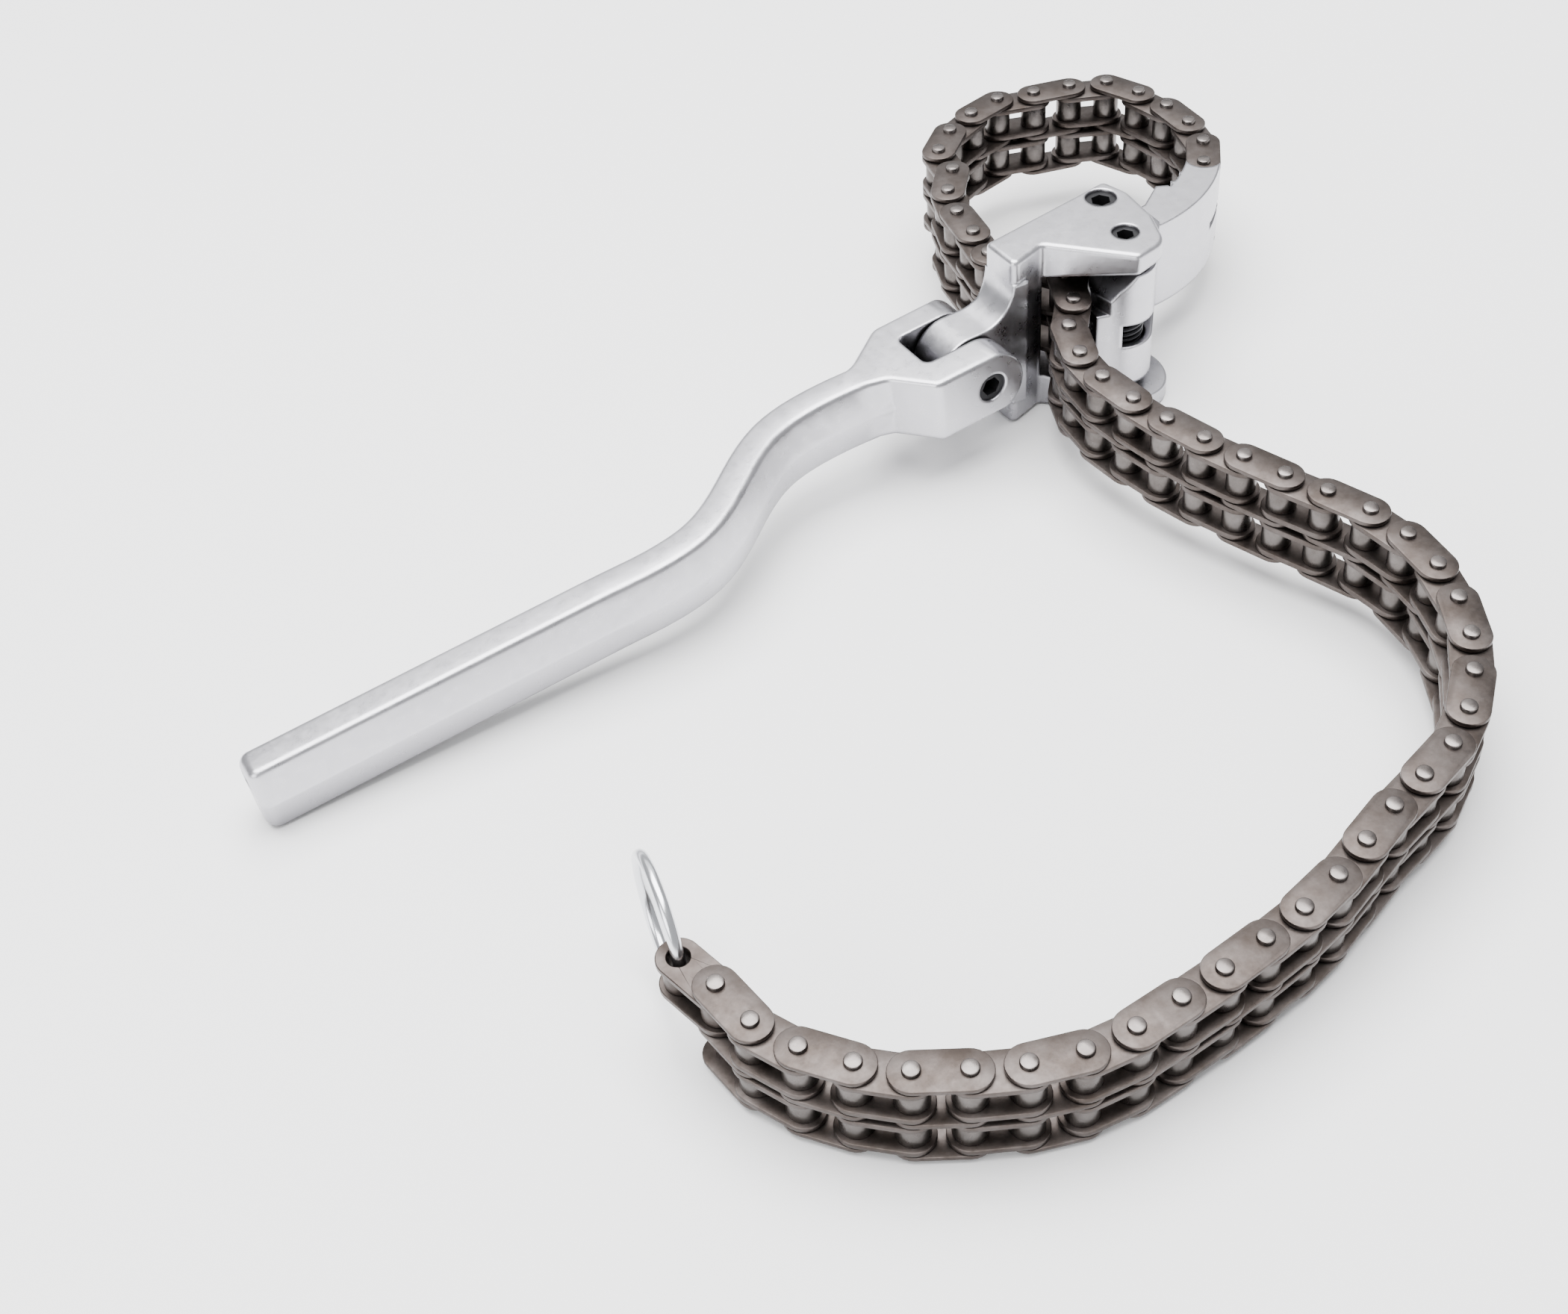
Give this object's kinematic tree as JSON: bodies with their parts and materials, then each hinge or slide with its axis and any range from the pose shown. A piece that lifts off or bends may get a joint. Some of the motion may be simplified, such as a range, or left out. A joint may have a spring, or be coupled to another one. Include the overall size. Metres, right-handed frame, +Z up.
{
  "type": "oil filter chain wrench",
  "caption": "Chain wrench with a hinged jaw and tilting handle; its duplex roller chain loops round a filter, grips it, and leaves a free tail with a pull ring.",
  "frame": {"origin": "on the underside of the head's lower cheek, below the pawl screw's axis", "axes": "+X from the handle to the head, +Y to the left, +Z up along the screws"},
  "size_m": [0.2799, 0.2476, 0.044],
  "materials": {
    "satin_forging": "satin chrome over a forged surface",
    "black_steel": "black oxide",
    "chain_steel": "oiled chain steel",
    "bright_wire": "zinc-bright wire"
  },
  "bodies": {
    "lever": {"pull_body": "satin_forging", "pawl_screw": "black_steel", "jaw_screw": "black_steel", "torsion_spring": "black_steel"},
    "jaw": {"jaw": "satin_forging", "anchor_link": "chain_steel", "loop_outer_links": "chain_steel", "loop_inner_links": "chain_steel", "loop_rollers": "chain_steel", "exit_link": "chain_steel"},
    "pawl": {"pawl": "black_steel"},
    "handle": {"handle": "satin_forging", "handle_pin": "black_steel"},
    "tail_inner_link_01": {"tail_inner_link_01": "chain_steel"},
    "tail_outer_link_01": {"tail_outer_link_01": "chain_steel"},
    "tail_inner_link_02": {"tail_inner_link_02": "chain_steel"},
    "tail_outer_link_02": {"tail_outer_link_02": "chain_steel"},
    "tail_inner_link_03": {"tail_inner_link_03": "chain_steel"},
    "tail_outer_link_03": {"tail_outer_link_03": "chain_steel"},
    "tail_inner_link_04": {"tail_inner_link_04": "chain_steel"},
    "tail_outer_link_04": {"tail_outer_link_04": "chain_steel"},
    "tail_inner_link_05": {"tail_inner_link_05": "chain_steel"},
    "tail_outer_link_05": {"tail_outer_link_05": "chain_steel"},
    "tail_inner_link_06": {"tail_inner_link_06": "chain_steel"},
    "tail_outer_link_06": {"tail_outer_link_06": "chain_steel"},
    "tail_inner_link_07": {"tail_inner_link_07": "chain_steel"},
    "tail_outer_link_07": {"tail_outer_link_07": "chain_steel"},
    "tail_inner_link_08": {"tail_inner_link_08": "chain_steel"},
    "tail_outer_link_08": {"tail_outer_link_08": "chain_steel"},
    "tail_inner_link_09": {"tail_inner_link_09": "chain_steel"},
    "tail_outer_link_09": {"tail_outer_link_09": "chain_steel"},
    "tail_inner_link_10": {"tail_inner_link_10": "chain_steel"},
    "tail_outer_link_10": {"tail_outer_link_10": "chain_steel"},
    "tail_inner_link_11": {"tail_inner_link_11": "chain_steel"},
    "tail_outer_link_11": {"tail_outer_link_11": "chain_steel"},
    "tail_inner_link_12": {"tail_inner_link_12": "chain_steel"},
    "tail_outer_link_12": {"tail_outer_link_12": "chain_steel"},
    "tail_inner_link_13": {"tail_inner_link_13": "chain_steel"},
    "tail_outer_link_13": {"tail_outer_link_13": "chain_steel"},
    "tail_inner_link_14": {"tail_inner_link_14": "chain_steel"},
    "tail_outer_link_14": {"tail_outer_link_14": "chain_steel"},
    "tail_inner_link_15": {"tail_inner_link_15": "chain_steel"},
    "tail_outer_link_15": {"tail_outer_link_15": "chain_steel"},
    "tail_inner_link_16": {"tail_inner_link_16": "chain_steel"},
    "tail_outer_link_16": {"tail_outer_link_16": "chain_steel"},
    "tail_inner_link_17": {"tail_inner_link_17": "chain_steel"},
    "tail_outer_link_17": {"tail_outer_link_17": "chain_steel"},
    "tail_end_link": {"tail_end_link": "chain_steel"},
    "ring": {"pull_ring": "bright_wire"}
  },
  "joints": [
    {"name": "jaw_swing", "type": "hinge", "parent": "lever", "child": "jaw", "pos_m": [-0.0043, -0.0143, 0.022], "axis": [0, 0, 1], "range_deg": [-2, 3], "stiffness_Nm_per_rad": 0.5},
    {"name": "pawl_swing", "type": "hinge", "parent": "lever", "child": "pawl", "pos_m": [0, 0, 0.022], "axis": [0, 0, 1], "range_deg": [-10, 8], "stiffness_Nm_per_rad": 0.02},
    {"name": "handle_fold", "type": "hinge", "parent": "lever", "child": "handle", "pos_m": [-0.044, -0.007, 0.022], "axis": [0, 1, 0], "range_deg": [-84, 92]},
    {"name": "bend_01", "type": "hinge", "parent": "jaw", "child": "tail_inner_link_01", "pos_m": [-0.01811, -0.01387, 0.02124], "axis": [-0.023, -0.0427, 0.9988], "range_deg": [-2, 10]},
    {"name": "bend_02", "type": "hinge", "parent": "tail_inner_link_01", "child": "tail_outer_link_01", "pos_m": [-0.0246, -0.02083, 0.02079], "axis": [-0.023, -0.0427, 0.9988], "range_deg": [0, 2]},
    {"name": "bend_03", "type": "hinge", "parent": "tail_outer_link_01", "child": "tail_inner_link_02", "pos_m": [-0.02831, -0.02959, 0.02033], "axis": [-0.023, -0.0427, 0.9988], "range_deg": [-12, 2]},
    {"name": "bend_04", "type": "hinge", "parent": "tail_inner_link_02", "child": "tail_outer_link_02", "pos_m": [-0.02947, -0.03903, 0.0199], "axis": [-0.023, -0.0427, 0.9988], "range_deg": [-12, 2]},
    {"name": "bend_05", "type": "hinge", "parent": "tail_outer_link_02", "child": "tail_inner_link_03", "pos_m": [-0.02864, -0.04851, 0.01952], "axis": [-0.023, -0.0427, 0.9988], "range_deg": [-4, 4]},
    {"name": "bend_06", "type": "hinge", "parent": "tail_inner_link_03", "child": "tail_outer_link_03", "pos_m": [-0.02714, -0.05791, 0.01915], "axis": [-0.023, -0.0427, 0.9988], "range_deg": [-5, 3]},
    {"name": "bend_07", "type": "hinge", "parent": "tail_outer_link_03", "child": "tail_inner_link_04", "pos_m": [-0.02483, -0.06714, 0.01881], "axis": [-0.023, -0.0427, 0.9988], "range_deg": [-4, 2]},
    {"name": "bend_08", "type": "hinge", "parent": "tail_inner_link_04", "child": "tail_outer_link_04", "pos_m": [-0.02189, -0.0762, 0.01849], "axis": [-0.023, -0.0427, 0.9988], "range_deg": [-17, 4]},
    {"name": "bend_09", "type": "hinge", "parent": "tail_outer_link_04", "child": "tail_inner_link_05", "pos_m": [-0.01878, -0.0852, 0.01817], "axis": [-0.023, -0.0427, 0.9988], "range_deg": [-18, 3]},
    {"name": "bend_10", "type": "hinge", "parent": "tail_inner_link_05", "child": "tail_outer_link_05", "pos_m": [-0.01537, -0.09408, 0.01787], "axis": [-0.023, -0.0427, 0.9988], "range_deg": [-15, 18]},
    {"name": "bend_11", "type": "hinge", "parent": "tail_outer_link_05", "child": "tail_inner_link_06", "pos_m": [-0.01226, -0.10308, 0.01756], "axis": [-0.023, -0.0427, 0.9988], "range_deg": [-4, 29]},
    {"name": "bend_12", "type": "hinge", "parent": "tail_inner_link_06", "child": "tail_outer_link_06", "pos_m": [-0.01126, -0.11255, 0.01718], "axis": [-0.023, -0.0427, 0.9988], "range_deg": [-4, 30]},
    {"name": "bend_13", "type": "hinge", "parent": "tail_outer_link_06", "child": "tail_inner_link_07", "pos_m": [-0.01242, -0.12199, 0.01675], "axis": [-0.023, -0.0427, 0.9988], "range_deg": [-4, 30]},
    {"name": "bend_14", "type": "hinge", "parent": "tail_inner_link_07", "child": "tail_outer_link_07", "pos_m": [-0.01567, -0.13093, 0.01629], "axis": [-0.023, -0.0427, 0.9988], "range_deg": [-8, 27]},
    {"name": "bend_15", "type": "hinge", "parent": "tail_outer_link_07", "child": "tail_inner_link_08", "pos_m": [-0.02043, -0.13917, 0.01583], "axis": [-0.023, -0.0427, 0.9988], "range_deg": [-7, 28]},
    {"name": "bend_16", "type": "hinge", "parent": "tail_inner_link_08", "child": "tail_outer_link_08", "pos_m": [-0.02667, -0.14635, 0.01538], "axis": [-0.023, -0.0427, 0.9988], "range_deg": [-9, 27]},
    {"name": "bend_17", "type": "hinge", "parent": "tail_outer_link_08", "child": "tail_inner_link_09", "pos_m": [-0.03396, -0.15246, 0.01495], "axis": [-0.023, -0.0427, 0.9988], "range_deg": [-7, 29]},
    {"name": "bend_18", "type": "hinge", "parent": "tail_inner_link_09", "child": "tail_outer_link_09", "pos_m": [-0.04229, -0.15707, 0.01456], "axis": [-0.023, -0.0427, 0.9988], "range_deg": [-5, 32]},
    {"name": "bend_19", "type": "hinge", "parent": "tail_outer_link_09", "child": "tail_inner_link_10", "pos_m": [-0.05149, -0.15953, 0.01424], "axis": [-0.023, -0.0427, 0.9988], "range_deg": [-18, 19]},
    {"name": "bend_20", "type": "hinge", "parent": "tail_inner_link_10", "child": "tail_outer_link_10", "pos_m": [-0.06072, -0.16183, 0.01393], "axis": [-0.023, -0.0427, 0.9988], "range_deg": [-23, 15]},
    {"name": "bend_21", "type": "hinge", "parent": "tail_outer_link_10", "child": "tail_inner_link_11", "pos_m": [-0.06978, -0.16476, 0.0136], "axis": [-0.023, -0.0427, 0.9988], "range_deg": [-20, 19]},
    {"name": "bend_22", "type": "hinge", "parent": "tail_inner_link_11", "child": "tail_outer_link_11", "pos_m": [-0.07883, -0.1677, 0.01326], "axis": [-0.023, -0.0427, 0.9988], "range_deg": [-14, 25]},
    {"name": "bend_23", "type": "hinge", "parent": "tail_outer_link_11", "child": "tail_inner_link_12", "pos_m": [-0.08815, -0.16968, 0.01297], "axis": [-0.023, -0.0427, 0.9988], "range_deg": [-16, 25]},
    {"name": "bend_24", "type": "hinge", "parent": "tail_inner_link_12", "child": "tail_outer_link_12", "pos_m": [-0.0976, -0.17083, 0.0127], "axis": [-0.023, -0.0427, 0.9988], "range_deg": [-19, 22]},
    {"name": "bend_25", "type": "hinge", "parent": "tail_outer_link_12", "child": "tail_inner_link_13", "pos_m": [-0.10708, -0.17166, 0.01244], "axis": [-0.023, -0.0427, 0.9988], "range_deg": [-20, 23]},
    {"name": "bend_26", "type": "hinge", "parent": "tail_inner_link_13", "child": "tail_outer_link_13", "pos_m": [-0.11659, -0.17215, 0.0122], "axis": [-0.023, -0.0427, 0.9988], "range_deg": [-21, 22]},
    {"name": "bend_27", "type": "hinge", "parent": "tail_outer_link_13", "child": "tail_inner_link_14", "pos_m": [-0.12611, -0.17248, 0.01197], "axis": [-0.023, -0.0427, 0.9988], "range_deg": [-14, 31]},
    {"name": "bend_28", "type": "hinge", "parent": "tail_inner_link_14", "child": "tail_outer_link_14", "pos_m": [-0.13556, -0.17131, 0.0118], "axis": [-0.023, -0.0427, 0.9988], "range_deg": [-11, 34]},
    {"name": "bend_29", "type": "hinge", "parent": "tail_outer_link_14", "child": "tail_inner_link_15", "pos_m": [-0.14457, -0.16821, 0.01173], "axis": [-0.023, -0.0427, 0.9988], "range_deg": [-15, 32]},
    {"name": "bend_30", "type": "hinge", "parent": "tail_inner_link_15", "child": "tail_outer_link_15", "pos_m": [-0.15298, -0.16374, 0.01173], "axis": [-0.023, -0.0427, 0.9988], "range_deg": [-21, 27]},
    {"name": "bend_31", "type": "hinge", "parent": "tail_outer_link_15", "child": "tail_inner_link_16", "pos_m": [-0.16105, -0.15869, 0.01176], "axis": [-0.023, -0.0427, 0.9988], "range_deg": [-14, 36]},
    {"name": "bend_32", "type": "hinge", "parent": "tail_inner_link_16", "child": "tail_outer_link_16", "pos_m": [-0.16791, -0.15208, 0.01188], "axis": [-0.023, -0.0427, 0.9988], "range_deg": [-17, 34]},
    {"name": "bend_33", "type": "hinge", "parent": "tail_outer_link_16", "child": "tail_inner_link_17", "pos_m": [-0.17364, -0.14447, 0.01207], "axis": [-0.023, -0.0427, 0.9988], "range_deg": [-14, 39]},
    {"name": "bend_34", "type": "hinge", "parent": "tail_inner_link_17", "child": "tail_outer_link_17", "pos_m": [-0.17752, -0.13578, 0.01236], "axis": [-0.023, -0.0427, 0.9988], "range_deg": [-11, 44]},
    {"name": "bend_35", "type": "hinge", "parent": "tail_outer_link_17", "child": "tail_end_link", "pos_m": [-0.17852, -0.12631, 0.01274], "axis": [-0.023, -0.0427, 0.9988], "range_deg": [-36, 21]},
    {"name": "ring_swing", "type": "hinge", "parent": "tail_end_link", "child": "ring", "pos_m": [-0.18062, -0.11722, 0.0182], "axis": [-0.023, -0.0427, 0.9988], "range_deg": [-52, 90]}
  ]
}
